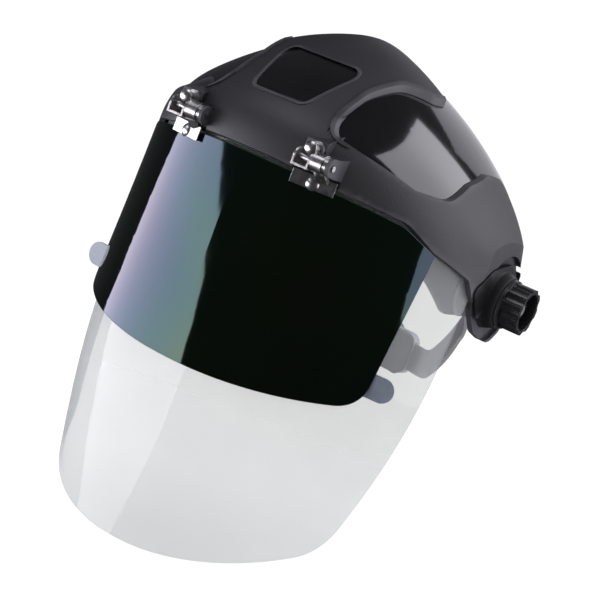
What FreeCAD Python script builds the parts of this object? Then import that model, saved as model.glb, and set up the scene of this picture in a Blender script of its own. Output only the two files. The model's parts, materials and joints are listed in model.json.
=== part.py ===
"""Industrial face shield: crown with clear window, flip-up dark shade and ratchet headgear.

Millimetres.  The origin is the middle of the crown's tilt axis, which runs from ear to ear.
+X is the wearer's left, -Y is the way the wearer looks and +Z is up.
"""
import FreeCAD, Part
import math
import os

V = FreeCAD.Vector

# ---------------------------------------------------------------- crown skin
CROWN_HALF_WIDTH = 105.0      # widest half width of the outer skin
CROWN_FRONT_REACH = 136.0     # plan centre to the brow
CROWN_REAR_REACH = 92.0       # plan centre to the (cut away) back of the skin
CROWN_CENTRE_Y = 0.0          # plan centre of the skin
CROWN_TOP_Z = 107.0           # highest point of the skin
PLAN_POWER = 2.1              # superellipse power of every plan section
WALL_TOP_SIDE_Z = 24.0        # the skin is upright below this height at the ears
WALL_TOP_FRONT_Z = 44.0       # and below this height at the brow
DOME_POWER_SIDE = 1.52        # how the skin closes towards the top, at the ears
DOME_POWER_FRONT = 1.30       # and at the brow
DOME_LEAN = 36.0              # how far the top of the dome lies in front of the plan centre
SKIN_FOOT_Z = -28.0           # the skin solid is closed off below this height
SKIN_FOOT_DEPTH = 50.0
FRAME_THICKNESS = 3.0
DOME_GAP = 0.15               # between the frame and the dome inside it
DOME_THICKNESS = 2.2
LIP_HEIGHT = 0.8              # raised lip around the openings of the frame
LIP_WIDTH = 2.8
BADGE_LIP_HEIGHT = 0.45
BADGE_LIP_WIDTH = 1.3
BADGE_DEPTH = 0.9             # from the frame's outer skin down to the panel in the badge opening
BADGE_CLEARANCE = 0.2
CORNER_X = 47.0               # centre of the rounded lower front corner of each side opening
CORNER_Z = 63.0
CORNER_RADIUS = 13.0
EAR_X = 100.0                 # outer face of the recessed ear plates
EAR_THICKNESS = 3.0
RECESS_RADIUS = 25.0          # scooped recess round the tilt knob
RECESS_WALL = 2.6
COLLAR_X = 101.2              # floor of the teardrop part of the recess

# ---------------------------------------------------------------- sheets
# each station of a sheet: (height Z, half width, front Y, plan centre Y)
WINDOW_STATIONS = [(46.0, 100.2, -131.9, 0.0), (5.0, 101.1, -131.2, 0.0), (-60.0, 105.2, -129.6, 0.0),
                   (-120.0, 100.6, -126.8, -2.0), (-190.0, 85.0, -122.0, -6.0)]
WINDOW_THICKNESS = 1.0
SHADE_STATIONS = [(40.0, 105.0, -136.0, 0.0), (-30.0, 107.6, -134.4, 0.0), (-95.0, 111.6, -133.0, 0.0)]
SHADE_THICKNESS = 1.5
TAB_HEIGHT = 13.0
TAB_OVERLAP = 11.5            # welded length behind the shade
TAB_REACH = 13.0              # free length, bent outwards
TAB_BEND = 44.0               # degrees
TAB_THICKNESS = 1.2
TAB_Z = -58.0
TAB_ROOT_X = 81.0
RETAINER_THICKNESS = 1.6
STUD_RADIUS = 1.8
WINDOW_STUDS = [(0, 36.5), (57, 31.5), (-57, 31.5), (84, 23.5), (-84, 23.5)]   # (x, z) of each stud

# ---------------------------------------------------------------- shade hinges
HINGE_X = 38.0                # middle of each clip
HINGE_Y = -137.0              # hinge pin axis
HINGE_Z = 38.4
CLIP_TURN = 24.0              # degrees: each clip lies along the curved shade
CLIP_WIDTH = 23.0
CLIP_BOTTOM_Z = 24.7
CLIP_TOP_Z = 31.8
CHANNEL_TOP_Z = 30.2          # top of the clip's U, over the edge of the shade
CLIP_SHEET = 0.9
CLIP_GAP = 2.9                # room between the clip's two leaves
CLIP_RIVET_Z = 27.4
KNUCKLE_RADIUS = 5.0
KNUCKLE_START = 1.3           # knuckle position along X from the middle of the clip
KNUCKLE_END = 7.6
PIN_RADIUS = 1.6
FIT = 0.06                    # radial clearance of the running fits
STIRRUP_START = -8.7
STIRRUP_END = 1.0
STIRRUP_SHEET = 1.2
STIRRUP_DEPTH = 4.6           # pin axis to the flat back of the stirrup
STIRRUP_DROP = 5.0            # pin axis to the underside of the stirrup
LUG_START = 9.8
LUG_END = 11.6
LUG_RADIUS = 4.7
SCREW_Z = 44.0
SCREW_SHIFT = -2.0            # the screw sits beside the middle of its clip
SCREW_HEAD_RADIUS = 3.25
SCREW_SHANK_RADIUS = 1.5
SLEEVE_RADIUS = 2.3
NUT_RADIUS = 3.1

# ---------------------------------------------------------------- tilt pivots
BOLT_RADIUS = 3.0
KNOB_RADIUS = 13.0
KNOB_START_X = 110.6
KNOB_END_X = 121.6
KNOB_BASE_X = 108.2
KNOB_LOBES = 8
FLUTE_RADIUS = 5.0
FLUTE_DEPTH = 1.2
PIVOT_BLOCK_X = 95.7          # outer face of the pivot blocks on the headband

# ---------------------------------------------------------------- headgear
BAND_HALF_WIDTH = 83.0
BAND_FRONT_Y = -104.0
BAND_REAR_Y = 97.0
BAND_CENTRE_Y = -3.0
BAND_POWER = 2.15
BAND_THICKNESS = 2.0
STRAP_THICKNESS = 1.6
STRAP_WIDTH = 15.0
STRAP_TOP_Z = 82.0
STRAP_HALF_WIDTH = 80.6
STRAP_RIVET_Z = 12.0
STRAP_RIVET_RADIUS = 1.5
STRAP_RIVET_HEAD = 2.8
PINION_TEETH = 12
PINION_MODULE = 1.0
PITCH_RADIUS = PINION_MODULE * PINION_TEETH / 2.0
RACK_HEIGHT = 8.4             # half height of the racks side by side
RATCHET_Z = -62.0
RACK_START = 28.5             # where each band narrows to its rack
RACK_REACH = 19.0             # how far each rack passes the pinion


# ================================================================ helpers
def box(low, high):
    size = [high[i] - low[i] for i in range(3)]
    return Part.makeBox(size[0], size[1], size[2], V(*low))


def cylinder_x(radius, x_low, x_high, y=0.0, z=0.0):
    return Part.makeCylinder(radius, x_high - x_low, V(x_low, y, z), V(1, 0, 0))


def cylinder_y(radius, y_low, y_high, x=0.0, z=0.0):
    return Part.makeCylinder(radius, y_high - y_low, V(x, y_low, z), V(0, 1, 0))


def fuse_all(shapes):
    result = shapes[0]
    if len(shapes) > 1:
        result = result.fuse(shapes[1:])
    return result.removeSplitter()


def turned_about_z(shape, degrees, x, y):
    copy = shape.copy()
    copy.rotate(V(x, y, 0), V(0, 0, 1), degrees)
    return copy


def mirrored_x(shape):
    return shape.mirror(V(0, 0, 0), V(1, 0, 0))


def smooth_wire(points, closed):
    curve = Part.BSplineCurve()
    curve.interpolate(Points=points, PeriodicFlag=closed)
    return Part.Wire([curve.toShape()])


def rounded_outline(corners):
    """Closed flat wire through (point, radius) corners, each radius an arc."""
    count = len(corners)
    starts = []
    edges = []
    arcs = []
    for index in range(count):
        before = V(*corners[index - 1][0])
        here = V(*corners[index][0])
        after = V(*corners[(index + 1) % count][0])
        radius = corners[index][1]
        arm_in = (before - here).normalize()
        arm_out = (after - here).normalize()
        half = arm_in.getAngle(arm_out) / 2.0
        reach = radius / math.tan(half)
        start = here + arm_in * reach
        end = here + arm_out * reach
        middle = (arm_in + arm_out).normalize()
        top = here + middle * (radius / math.sin(half) - radius)
        starts.append((start, end))
        arcs.append(Part.Arc(start, top, end).toShape() if radius > 0 else None)
    for index in range(count):
        if arcs[index] is not None:
            edges.append(arcs[index])
        line_from = starts[index][1]
        line_to = starts[(index + 1) % count][0]
        if (line_to - line_from).Length > 1e-6:
            edges.append(Part.makeLine(line_from, line_to))
    return Part.Wire(edges)


def side_prism(corners, x_low=-140.0, x_high=140.0):
    """Prism along X of a side view outline given as ((y, z), radius) corners."""
    wire = rounded_outline([((x_low, y, z), radius) for (y, z), radius in corners])
    return Part.Face(wire).extrude(V(x_high - x_low, 0, 0))


def plan_prism(corners, z_low, z_high):
    wire = rounded_outline([((x, y, z_low), radius) for (x, y), radius in corners])
    return Part.Face(wire).extrude(V(0, 0, z_high - z_low))


def front_prism(corners, y_low, y_high):
    wire = rounded_outline([((x, y_low, z), radius) for (x, z), radius in corners])
    return Part.Face(wire).extrude(V(0, y_high - y_low, 0))


# ================================================================ crown skin
def smooth_step(value):
    value = max(0.0, min(1.0, value))
    return value * value * (3.0 - 2.0 * value)


def skin_measure(x, y, z, inset):
    """Below 1 inside the skin that lies `inset` under the outer skin, above 1 outside it."""
    brow = smooth_step((-y - 50.0) / 80.0)
    wall_top = WALL_TOP_SIDE_Z + (WALL_TOP_FRONT_Z - WALL_TOP_SIDE_Z) * brow
    power = DOME_POWER_SIDE + (DOME_POWER_FRONT - DOME_POWER_SIDE) * brow
    scale = 1.0
    lean = 0.0
    if z > wall_top:
        rise = (z - wall_top) / (CROWN_TOP_Z - inset - wall_top)
        if rise >= 1.0:
            return 2.0
        scale = (1.0 - rise ** power) ** (1.0 / power)
        lean = DOME_LEAN * rise
    elif z < SKIN_FOOT_Z:
        drop = (SKIN_FOOT_Z - z) / SKIN_FOOT_DEPTH
        if drop >= 1.0:
            return 2.0
        scale = math.sqrt(1.0 - drop * drop)
    offset = y - (CROWN_CENTRE_Y - lean)
    reach = CROWN_FRONT_REACH if offset < 0 else CROWN_REAR_REACH
    across = abs(x) / ((CROWN_HALF_WIDTH - inset) * scale)
    along = abs(offset) / ((reach - inset) * scale)
    return across ** PLAN_POWER + along ** PLAN_POWER


def skin_section(x, inset, count=36):
    """Closed outline of the skin in the plane X = x."""
    points = []
    for index in range(count):
        angle = 2.0 * math.pi * index / count
        low = 0.0
        high = 240.0
        for _ in range(44):
            middle = (low + high) / 2.0
            y = CROWN_CENTRE_Y - middle * math.cos(angle)
            z = middle * math.sin(angle)
            if skin_measure(x, y, z, inset) < 1.0:
                low = middle
            else:
                high = middle
        points.append(V(x, CROWN_CENTRE_Y - low * math.cos(angle), low * math.sin(angle)))
    return smooth_wire(points, True)


def skin_solid(inset):
    """Solid bounded by the skin at this inset, flat at both ears."""
    half = [0.0, 22.0, 43.0, 61.0, 76.0, 87.0, 95.0, 100.0, 102.8]
    stations = [-value for value in reversed(half[1:])] + half
    scale = (CROWN_HALF_WIDTH - inset) / CROWN_HALF_WIDTH
    sections = [skin_section(station * scale, inset) for station in stations]
    return Part.makeLoft(sections, True, False)


# ================================================================ bent sheets
def plan_point(half_width, reach, centre_y, angle, power):
    """Point of a superellipse; angle 0 is the front and 90 degrees is the wearer's left."""
    across = math.sin(angle)
    along = math.cos(angle)
    x = half_width * math.copysign(abs(across) ** (2.0 / power), across)
    y = centre_y - reach * math.copysign(abs(along) ** (2.0 / power), along)
    return x, y


def sheet_section(station, offset, count=48):
    z, half_width, front_y, centre_y = station
    points = []
    for index in range(count):
        angle = 2.0 * math.pi * index / count
        x, y = plan_point(half_width + offset, centre_y - front_y + offset, centre_y, angle, PLAN_POWER)
        points.append(V(x, y, z))
    return smooth_wire(points, True)


def sheet_solid(stations, offset):
    return Part.makeLoft([sheet_section(station, offset) for station in stations], True, False)


def bent_sheet(stations, middle, thickness, corners):
    """Sheet of even thickness about an offset from the stations, cut to a side view outline."""
    outer = sheet_solid(stations, middle + thickness / 2.0)
    inner = sheet_solid(stations, middle - thickness / 2.0)
    return outer.cut(inner).common(side_prism(corners))


def band_ring(offset, z_low, z_high, count=48):
    """Upright solid of the head outline, moved out by offset."""
    points = []
    for index in range(count):
        angle = 2.0 * math.pi * index / count
        reach = (BAND_CENTRE_Y - BAND_FRONT_Y) if math.cos(angle) > 0 else (BAND_REAR_Y - BAND_CENTRE_Y)
        x, y = plan_point(BAND_HALF_WIDTH + offset, reach + offset, BAND_CENTRE_Y, angle, BAND_POWER)
        points.append(V(x, y, z_low))
    return Part.Face(smooth_wire(points, True)).extrude(V(0, 0, z_high - z_low))


def head_wall(offset_in, offset_out, z_low, z_high):
    return band_ring(offset_out, z_low, z_high).cut(band_ring(offset_in, z_low - 1, z_high + 1))


# ================================================================ crown frame
BROW_EDGE = [((-150, 34.0), 0), ((-135, 32.4), 20), ((-124, 29.0), 20), ((-94, 25.2), 14),
             ((-76, 15.6), 16), ((-44, 7.0), 4)]
BAND_TOP = [((-150, 66), 0), ((-118, 50.0), 12), ((-94, 41.8), 14), ((-74, 42.0), 16), ((-54, 53.0), 24)]
ARM_TIP = [((-32, 60.5), 18), ((-13, 61.0), 7), ((1, 40), 30), ((15, 20), 14), ((26, 10), 6)]
EAR_LOBE = [((30, -11), 12), ((11, -26), 13), ((-9, -21), 12), ((-36, -1), 8)]


def collar_outline(grow):
    """Side view of the teardrop collar round each tilt pivot."""
    corners = [((-37, 2), 4), ((-22, 15), 14), ((4, 21), 12), ((21, 9), 10), ((18, -12), 8),
               ((-21, -12), 6)]
    outline = []
    for (y, z), radius in corners:
        length = math.hypot(y, z)
        outline.append(((y * (1.0 + grow / length), z * (1.0 + grow / length)), radius + grow))
    return outline


def frame_side_region():
    """Side view region of the brow band and the two arms, without the rib."""
    outline = BROW_EDGE + list(reversed(EAR_LOBE)) + list(reversed(ARM_TIP)) + list(reversed(BAND_TOP))
    return side_prism(outline)


def rib_region():
    """Plan region of the rib that runs from the brow over the top, wider at its back end."""
    right = [((33.5, -160), 0), ((33.5, -96), 30), ((38.0, -72), 30), ((48.0, -52), 14), ((50.0, -38), 4)]
    left = [((-x, y), radius) for (x, y), radius in reversed(right)]
    return plan_prism(right + left, 36.0, 120.0)


def badge_corners(grow):
    low = 61.8 - grow
    high = 87.0 + grow
    return [((-15.5 - grow, low), 4 + grow), ((15.5 + grow, low), 4 + grow),
            ((23.5 + grow, high), 5 + grow), ((-23.5 - grow, high), 5 + grow)]


def frame_lips(shell_high, shell_low, rib):
    """Raised lips along the rib, round into the lower front corners of the side openings."""
    rib_lip = rib.cut(narrow_rib(LIP_WIDTH)).common(box((-70, -130, CORNER_Z), (70, 0, 120)))
    skin = shell_high.cut(shell_low)
    corner = corner_lip()
    return [skin.common(rib_lip), skin.common(corner), skin.common(mirrored_x(corner))]


def corner_lip():
    """Crescent in front view that ends the rib's lip round the wearer's left opening."""
    shift = LIP_WIDTH / 2.0
    outer = cylinder_y(CORNER_RADIUS + shift, -140, -90, CORNER_X - shift, CORNER_Z + shift)
    crescent = outer.cut(cylinder_y(CORNER_RADIUS, -140, -90, CORNER_X, CORNER_Z))
    reach = CORNER_RADIUS + LIP_WIDTH + 1.0
    return crescent.common(box((CORNER_X - reach, -140, CORNER_Z - reach), (CORNER_X, -90, CORNER_Z)))


def narrow_rib(amount):
    right = [((33.5 - amount, -170), 0), ((33.5 - amount, -96), 30), ((38.0 - amount, -70), 30),
             ((48.0 - amount, -50), 14), ((50.0 - amount, -30), 4)]
    left = [((-x, y), radius) for (x, y), radius in reversed(right)]
    return plan_prism(right + left, 30.0, 125.0)


def ear_bowl(outer_solid, side):
    """Recess wall and flat ear plate for the tilt pivot at one ear."""
    low, high = sorted((side * (EAR_X - EAR_THICKNESS), side * 120.0))
    return cylinder_x(RECESS_RADIUS + RECESS_WALL, low, high).common(outer_solid)


def crown_frame(outer, inner, lip_skin):
    shell = outer.cut(inner)
    rib = rib_region()
    region = frame_side_region().fuse(rib)
    bowls = [ear_bowl(outer, side) for side in (1, -1)]
    body = shell.fuse(bowls)
    body = body.common(region)
    badge = front_prism(badge_corners(0.0), -160, -55)
    lips = frame_lips(lip_skin, outer, rib)
    badge_ring = front_prism(badge_corners(BADGE_LIP_WIDTH), -160, -55).cut(badge)
    badge_lip = skin_solid(-BADGE_LIP_HEIGHT).cut(outer).common(badge_ring)
    body = body.fuse(lips + [badge_lip]).cut(badge)
    for side in (1, -1):
        low, high = sorted((side * EAR_X, side * 125.0))
        body = body.cut(cylinder_x(RECESS_RADIUS, low, high))
        low, high = sorted((side * COLLAR_X, side * 125.0))
        body = body.cut(side_prism(collar_outline(1.6), low, high))
        low, high = sorted((side * 95.0, side * 125.0))
        body = body.cut(cylinder_x(BOLT_RADIUS + FIT, low, high))
        body = body.cut(hinge_flat(side))
        body = body.fuse([hinge_boss(side, inner), opening_gusset(side, shell)])
        body = body.cut([knuckle_pocket(side), clip_notch(side)])
        body = body.fuse(hinge_lug(side, inner))
        body = body.cut(screw_hole(side))
    body = body.cut(stud_shafts(STUD_RADIUS + 0.03, -2.0, 2.4))
    return body.removeSplitter()


def screw_hole(side):
    return cylinder_y(SCREW_SHANK_RADIUS + FIT, -150, -100, side * HINGE_X + SCREW_SHIFT, SCREW_Z)


def hinge_flat(side):
    """Space in front of the flat that the hinge stirrup sits on."""
    x_mid = side * HINGE_X
    return box((x_mid + STIRRUP_START - 0.8, -150, HINGE_Z - 6.6),
               (x_mid + LUG_END, HINGE_Y + STIRRUP_DEPTH, SCREW_Z + 6.0))


def hinge_boss(side, inner):
    """Moulded flat behind the stirrup where the brow curves away."""
    x_mid = side * HINGE_X
    low = HINGE_Z - 5.2
    high = SCREW_Z + 5.5
    front = HINGE_Y + STIRRUP_DEPTH
    shoulder = HINGE_Z + LUG_RADIUS
    tall = [((front, low), 0), ((-112, low), 0), ((-112, high + 7.0), 0), ((front, high - 1.5), 0)]
    short = [((front, low), 0), ((-112, low), 0), ((-112, shoulder + 2.0), 0), ((front, shoulder), 0)]
    behind_screw = side_prism(tall, x_mid + STIRRUP_START - 0.8, x_mid + 2.6)
    behind_lug = side_prism(short, x_mid + 2.0, x_mid + LUG_END)
    return behind_screw.fuse(behind_lug).cut(inner)


def knuckle_pocket(side):
    """Pocket in the flat that lets the clip's knuckle and tongue turn."""
    x_mid = side * HINGE_X
    upper = box((x_mid + KNUCKLE_START - 0.25, -150, HINGE_Z - 6.6),
                (x_mid + LUG_START, HINGE_Y + KNUCKLE_RADIUS + 0.45, HINGE_Z + 5.6))
    lower = box((x_mid + KNUCKLE_START - 0.5, -150, CLIP_TOP_Z - 2.0),
                (x_mid + KNUCKLE_END + 0.5, tongue_foot_y(side) + 1.5, HINGE_Z - 3.2))
    return upper.fuse(lower)


def tongue_foot_y(side):
    """Front face of the clip where the tongue leaves it."""
    x = side * HINGE_X + (KNUCKLE_START + KNUCKLE_END) / 2.0
    return shade_y(x, CLIP_TOP_Z) - CLIP_GAP / 2.0 - CLIP_SHEET


def clip_notch(side):
    """Notch in the lower edge of the brow that clears the clip."""
    x_mid = side * HINGE_X
    y_mid = shade_y(x_mid, CLIP_RIVET_Z)
    half = CLIP_WIDTH / 2.0 + 0.8
    front = box((x_mid - half, y_mid - 20, 20), (x_mid + half, y_mid + 0.9, CLIP_TOP_Z + 1.3))
    whole = box((x_mid - half, y_mid - 20, 20), (x_mid + half, y_mid + 9.0, CHANNEL_TOP_Z + 1.2))
    return turned_about_z(front.fuse(whole), side * CLIP_TURN, x_mid, y_mid)


def opening_gusset(side, shell):
    """Rounds the lower front corner of the side opening."""
    foot = CORNER_RADIUS + 2.0
    corner = box((CORNER_X - CORNER_RADIUS, -132, CORNER_Z - foot), (CORNER_X, -104, CORNER_Z))
    corner = corner.cut(cylinder_y(CORNER_RADIUS, -140, -100, CORNER_X, CORNER_Z))
    gusset = corner if side > 0 else mirrored_x(corner)
    return gusset.common(shell)


def hinge_lug(side, inner):
    """Moulded lug of the brow that carries the far end of the hinge pin."""
    x_mid = side * HINGE_X
    eye = cylinder_x(LUG_RADIUS, x_mid + LUG_START, x_mid + LUG_END, HINGE_Y, HINGE_Z)
    web = box((x_mid + LUG_START, HINGE_Y, HINGE_Z - LUG_RADIUS),
              (x_mid + LUG_END, -112, HINGE_Z + LUG_RADIUS))
    lug = eye.fuse(web).cut(inner)
    return lug.cut(cylinder_x(PIN_RADIUS + FIT, x_mid, x_mid + 20, HINGE_Y, HINGE_Z))


def crown_dome():
    """Glossy inner dome, seen through the openings of the frame and open at the back."""
    top = FRAME_THICKNESS + DOME_GAP
    shell = skin_solid(top).cut(skin_solid(top + DOME_THICKNESS))
    outline = [((-150, 45.5), 0), ((-104, 38.0), 14), ((-84, 34), 14), ((-46, 46), 20), ((-2, 46), 16),
               ((24, 66), 20), ((22, 120), 0), ((-150, 120), 0)]
    dome = shell.common(side_prism(outline))
    for side in (1, -1):
        dome = dome.cut(cylinder_y(4.4, -150, -100, side * HINGE_X + SCREW_SHIFT, SCREW_Z))
    panel = skin_solid(BADGE_DEPTH).cut(skin_solid(top + 1.0))
    panel = panel.common(front_prism(badge_corners(-BADGE_CLEARANCE), -160, -55))
    return dome.fuse(panel).removeSplitter()


# ================================================================ window and shade
def stud_shafts(radius, start, end):
    """Shafts square to the window at each of its studs, from start to end about its middle."""
    shafts = []
    for x, z in WINDOW_STUDS:
        y = sheet_y(WINDOW_STATIONS, x, z)
        slope = (sheet_y(WINDOW_STATIONS, x + 0.5, z) - sheet_y(WINDOW_STATIONS, x - 0.5, z)) / 1.0
        outward = V(slope, -1.0, 0).normalize()
        foot = V(x, y, z) + outward * start
        shafts.append(Part.makeCylinder(radius, end - start, foot, outward))
    return Part.makeCompound(shafts)


def clear_window():
    corners = [((-150, 43.0), 0), ((-128, 40.5), 12), ((-90, 33.0), 14), ((-62, 22.0), 14), ((-30, 13.5), 5),
               ((-58.0, -154.0), 26), ((-128, -182.0), 10), ((-150, -182.0), 0)]
    sheet = bent_sheet(WINDOW_STATIONS, 0.0, WINDOW_THICKNESS, corners)
    return sheet.cut(stud_shafts(STUD_RADIUS + 0.03, -5, 5))


def window_retainer():
    """Inner strip that clamps the top edge of the window to the brow."""
    corners = [((-150, 42.0), 0), ((-128, 39.5), 12), ((-90, 32.0), 14), ((-66, 22.5), 4), ((-69, 13.0), 4),
               ((-77, 17.5), 10), ((-94, 27.0), 14), ((-124, 30.5), 20), ((-150, 32.0), 0)]
    middle = -(WINDOW_THICKNESS + RETAINER_THICKNESS) / 2.0 - 0.1
    strip = bent_sheet(WINDOW_STATIONS, middle, RETAINER_THICKNESS, corners)
    return strip.cut(stud_shafts(STUD_RADIUS + 0.03, -5, 5))


def window_studs():
    """Push studs through the retainer and the window into the brow."""
    inner_face = -WINDOW_THICKNESS / 2.0 - 0.1 - RETAINER_THICKNESS
    shafts = stud_shafts(STUD_RADIUS, inner_face - 1.2, 2.2).Solids
    heads = stud_shafts(3.6, inner_face - 2.5, inner_face - 1.0).Solids
    return Part.makeCompound([fuse_all([shaft, head]) for shaft, head in zip(shafts, heads)])


def shade_corners():
    return [((-150, 31.5), 0), ((-135, 29.9), 20), ((-124, 26.8), 20), ((-96, 23.4), 14), ((-75.5, 14.0), 3),
            ((-86.0, -70.0), 17), ((-134, -81.0), 8), ((-150, -81.0), 0)]


def ir_shade():
    sheet = bent_sheet(SHADE_STATIONS, 0.0, SHADE_THICKNESS, shade_corners())
    for side in (1, -1):
        sheet = sheet.cut(rivet_axis(side, 1.55))
    return sheet


def sheet_y(stations, x, z):
    """Y of the middle of a sheet's front at x and z, straight between its stations."""
    for upper, lower in zip(stations, stations[1:]):
        if z >= lower[0]:
            break
    part = (z - lower[0]) / (upper[0] - lower[0])
    half, front, centre = [lower[i] + (upper[i] - lower[i]) * part for i in (1, 2, 3)]
    return centre - (centre - front) * (1.0 - (abs(x) / half) ** PLAN_POWER) ** (1.0 / PLAN_POWER)


def shade_y(x, z):
    return sheet_y(SHADE_STATIONS, x, z)


def lift_tab(side):
    """Rounded tab welded inside the back edge of the shade, its free end bent outwards."""
    x_root = TAB_ROOT_X
    y_root = shade_y(x_root, TAB_Z)
    y_next = shade_y(x_root + 1.0, TAB_Z)
    tangent = math.degrees(math.atan2(y_next - y_root, 1.0))
    half = TAB_HEIGHT / 2.0
    inner = box((0, 0, -half), (TAB_OVERLAP, TAB_THICKNESS, half))
    outer = box((0, 0, -half), (TAB_REACH - half, TAB_THICKNESS, half))
    outer = outer.fuse(cylinder_y(half, 0, TAB_THICKNESS, TAB_REACH - half, 0))
    outer.rotate(V(0, 0, 0), V(0, 0, 1), -TAB_BEND)
    outer.translate(V(TAB_OVERLAP, 0, 0))
    corner = Part.makeCylinder(TAB_THICKNESS, TAB_HEIGHT, V(TAB_OVERLAP, 0, -half), V(0, 0, 1), 360)
    corner = corner.common(box((TAB_OVERLAP - 3, 0, -half), (TAB_OVERLAP + 3, 3, half)))
    tab = fuse_all([inner, outer, corner])
    tab.rotate(V(0, 0, 0), V(0, 0, 1), tangent)
    inward = V(-math.sin(math.radians(tangent)), math.cos(math.radians(tangent)), 0)
    tab.translate(V(x_root, y_root, TAB_Z) + inward * (SHADE_THICKNESS / 2.0 + 0.6))
    return tab if side > 0 else mirrored_x(tab)


def rivet_axis(side, radius):
    """Cylinder through the clip and the shade, square to the turned clip."""
    x_mid = side * HINGE_X
    y_mid = shade_y(x_mid, CLIP_RIVET_Z)
    shank = cylinder_y(radius, -9, 9, 0, 0)
    shank.translate(V(x_mid, y_mid, CLIP_RIVET_Z))
    return turned_about_z(shank, side * CLIP_TURN, x_mid, y_mid)


def shade_clip(side):
    """Pressed steel U-clip on the top edge of the shade, with a tongue rolled round the hinge pin."""
    x_mid = side * HINGE_X
    y_mid = shade_y(x_mid, CLIP_RIVET_Z)
    half = CLIP_WIDTH / 2.0
    gap = CLIP_GAP / 2.0
    front_y = y_mid - gap - CLIP_SHEET
    back_y = y_mid + gap + CLIP_SHEET
    front = box((x_mid - half, front_y, CLIP_BOTTOM_Z), (x_mid + half, y_mid - gap, CLIP_TOP_Z))
    back = box((x_mid - half, y_mid + gap, CLIP_BOTTOM_Z), (x_mid + half, back_y, CHANNEL_TOP_Z))
    roof = box((x_mid - half, front_y, CHANNEL_TOP_Z - CLIP_SHEET), (x_mid + half, back_y, CHANNEL_TOP_Z))
    channel = turned_about_z(fuse_all([front, back, roof]), side * CLIP_TURN, x_mid, y_mid)
    x_low = x_mid + KNUCKLE_START
    x_high = x_mid + KNUCKLE_END
    foot_y = tongue_foot_y(side)
    tongue_corners = [((foot_y - 0.4, CLIP_TOP_Z - 2.2), 0), ((foot_y + 0.9, CLIP_TOP_Z - 2.2), 0),
                      ((foot_y + 0.9, CLIP_TOP_Z + 0.4), 0), ((HINGE_Y + 1.6, HINGE_Z - 3.6), 0),
                      ((HINGE_Y - 0.6, HINGE_Z - 3.2), 0)]
    tongue = side_prism(tongue_corners, x_low, x_high)
    knuckle = cylinder_x(KNUCKLE_RADIUS, x_low, x_high, HINGE_Y, HINGE_Z)
    clip = fuse_all([channel, tongue, knuckle])
    clip = clip.cut(cylinder_x(PIN_RADIUS + FIT, x_low - 5, x_high + 5, HINGE_Y, HINGE_Z))
    return clip.cut(rivet_axis(side, 1.55))


def clip_rivet(side):
    """Domed rivet that holds the clip on the shade."""
    x_mid = side * HINGE_X
    y_mid = shade_y(x_mid, CLIP_RIVET_Z)
    leaf = CLIP_GAP / 2.0 + CLIP_SHEET
    shank = cylinder_y(1.5, -leaf - 0.3, leaf + 0.3)
    head = Part.makeSphere(4.6, V(0, -leaf + 3.0, 0)).common(box((-5, -leaf - 3, -5), (5, -leaf - 0.05, 5)))
    tail = cylinder_y(2.6, leaf + 0.05, leaf + 0.9)
    rivet = fuse_all([shank, head, tail])
    rivet.translate(V(x_mid, y_mid, CLIP_RIVET_Z))
    return turned_about_z(rivet, side * CLIP_TURN, x_mid, y_mid)


# ================================================================ hinge hardware on the crown
def hinge_stirrup(side):
    """Bright U-shaped stirrup: back plate, two eared lugs and a front strap below the pin."""
    x_low = side * HINGE_X + STIRRUP_START
    x_high = side * HINGE_X + STIRRUP_END
    x_screw = side * HINGE_X + SCREW_SHIFT
    back_y = HINGE_Y + STIRRUP_DEPTH
    low_z = HINGE_Z - STIRRUP_DROP
    ear = cylinder_x(STIRRUP_DEPTH, x_low, x_high, HINGE_Y, HINGE_Z)
    block = box((x_low, HINGE_Y - STIRRUP_DEPTH, low_z), (x_high, HINGE_Y, HINGE_Z))
    rear = box((x_low, HINGE_Y, low_z), (x_high, back_y, HINGE_Z + STIRRUP_DEPTH))
    solid = fuse_all([ear, block, rear])
    hollow = box((x_low + STIRRUP_SHEET, HINGE_Y - 9, low_z + STIRRUP_SHEET),
                 (x_high - STIRRUP_SHEET, back_y - STIRRUP_SHEET, HINGE_Z + 9))
    solid = solid.cut(hollow)
    plate = box((x_low, back_y - STIRRUP_SHEET, low_z), (x_high, back_y, SCREW_Z))
    round_top = cylinder_y(4.0, back_y - STIRRUP_SHEET, back_y, x_screw, SCREW_Z)
    solid = fuse_all([solid, plate, round_top])
    solid = solid.cut(cylinder_x(PIN_RADIUS + FIT, x_low - 5, x_high + 5, HINGE_Y, HINGE_Z))
    head_room = cylinder_y(SCREW_HEAD_RADIUS + 0.15, -150, HINGE_Y - 2.3, x_screw, SCREW_Z)
    sleeve_room = cylinder_y(SLEEVE_RADIUS + 0.1, -150, back_y - STIRRUP_SHEET - 0.01, x_screw, SCREW_Z)
    return solid.cut([screw_hole(side), head_room, sleeve_room])


def hinge_pin(side):
    x_low = side * HINGE_X + STIRRUP_START
    x_high = side * HINGE_X + LUG_END
    shank = cylinder_x(PIN_RADIUS, x_low - 0.6, x_high + 0.8, HINGE_Y, HINGE_Z)
    head = cylinder_x(2.7, x_low - 1.2, x_low - 0.05, HINGE_Y, HINGE_Z)
    return fuse_all([shank, head])


def hinge_washers(side):
    """Two spring washers that give the flip-up shade its friction."""
    x_mid = side * HINGE_X
    washers = []
    for x_low in (KNUCKLE_END + 0.2, KNUCKLE_END + 1.2):
        ring = cylinder_x(4.4, x_mid + x_low, x_mid + x_low + 0.8, HINGE_Y, HINGE_Z)
        ring = ring.cut(cylinder_x(PIN_RADIUS + FIT, x_mid, x_mid + 20, HINGE_Y, HINGE_Z))
        washers.append(ring)
    return Part.makeCompound(washers)


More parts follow.
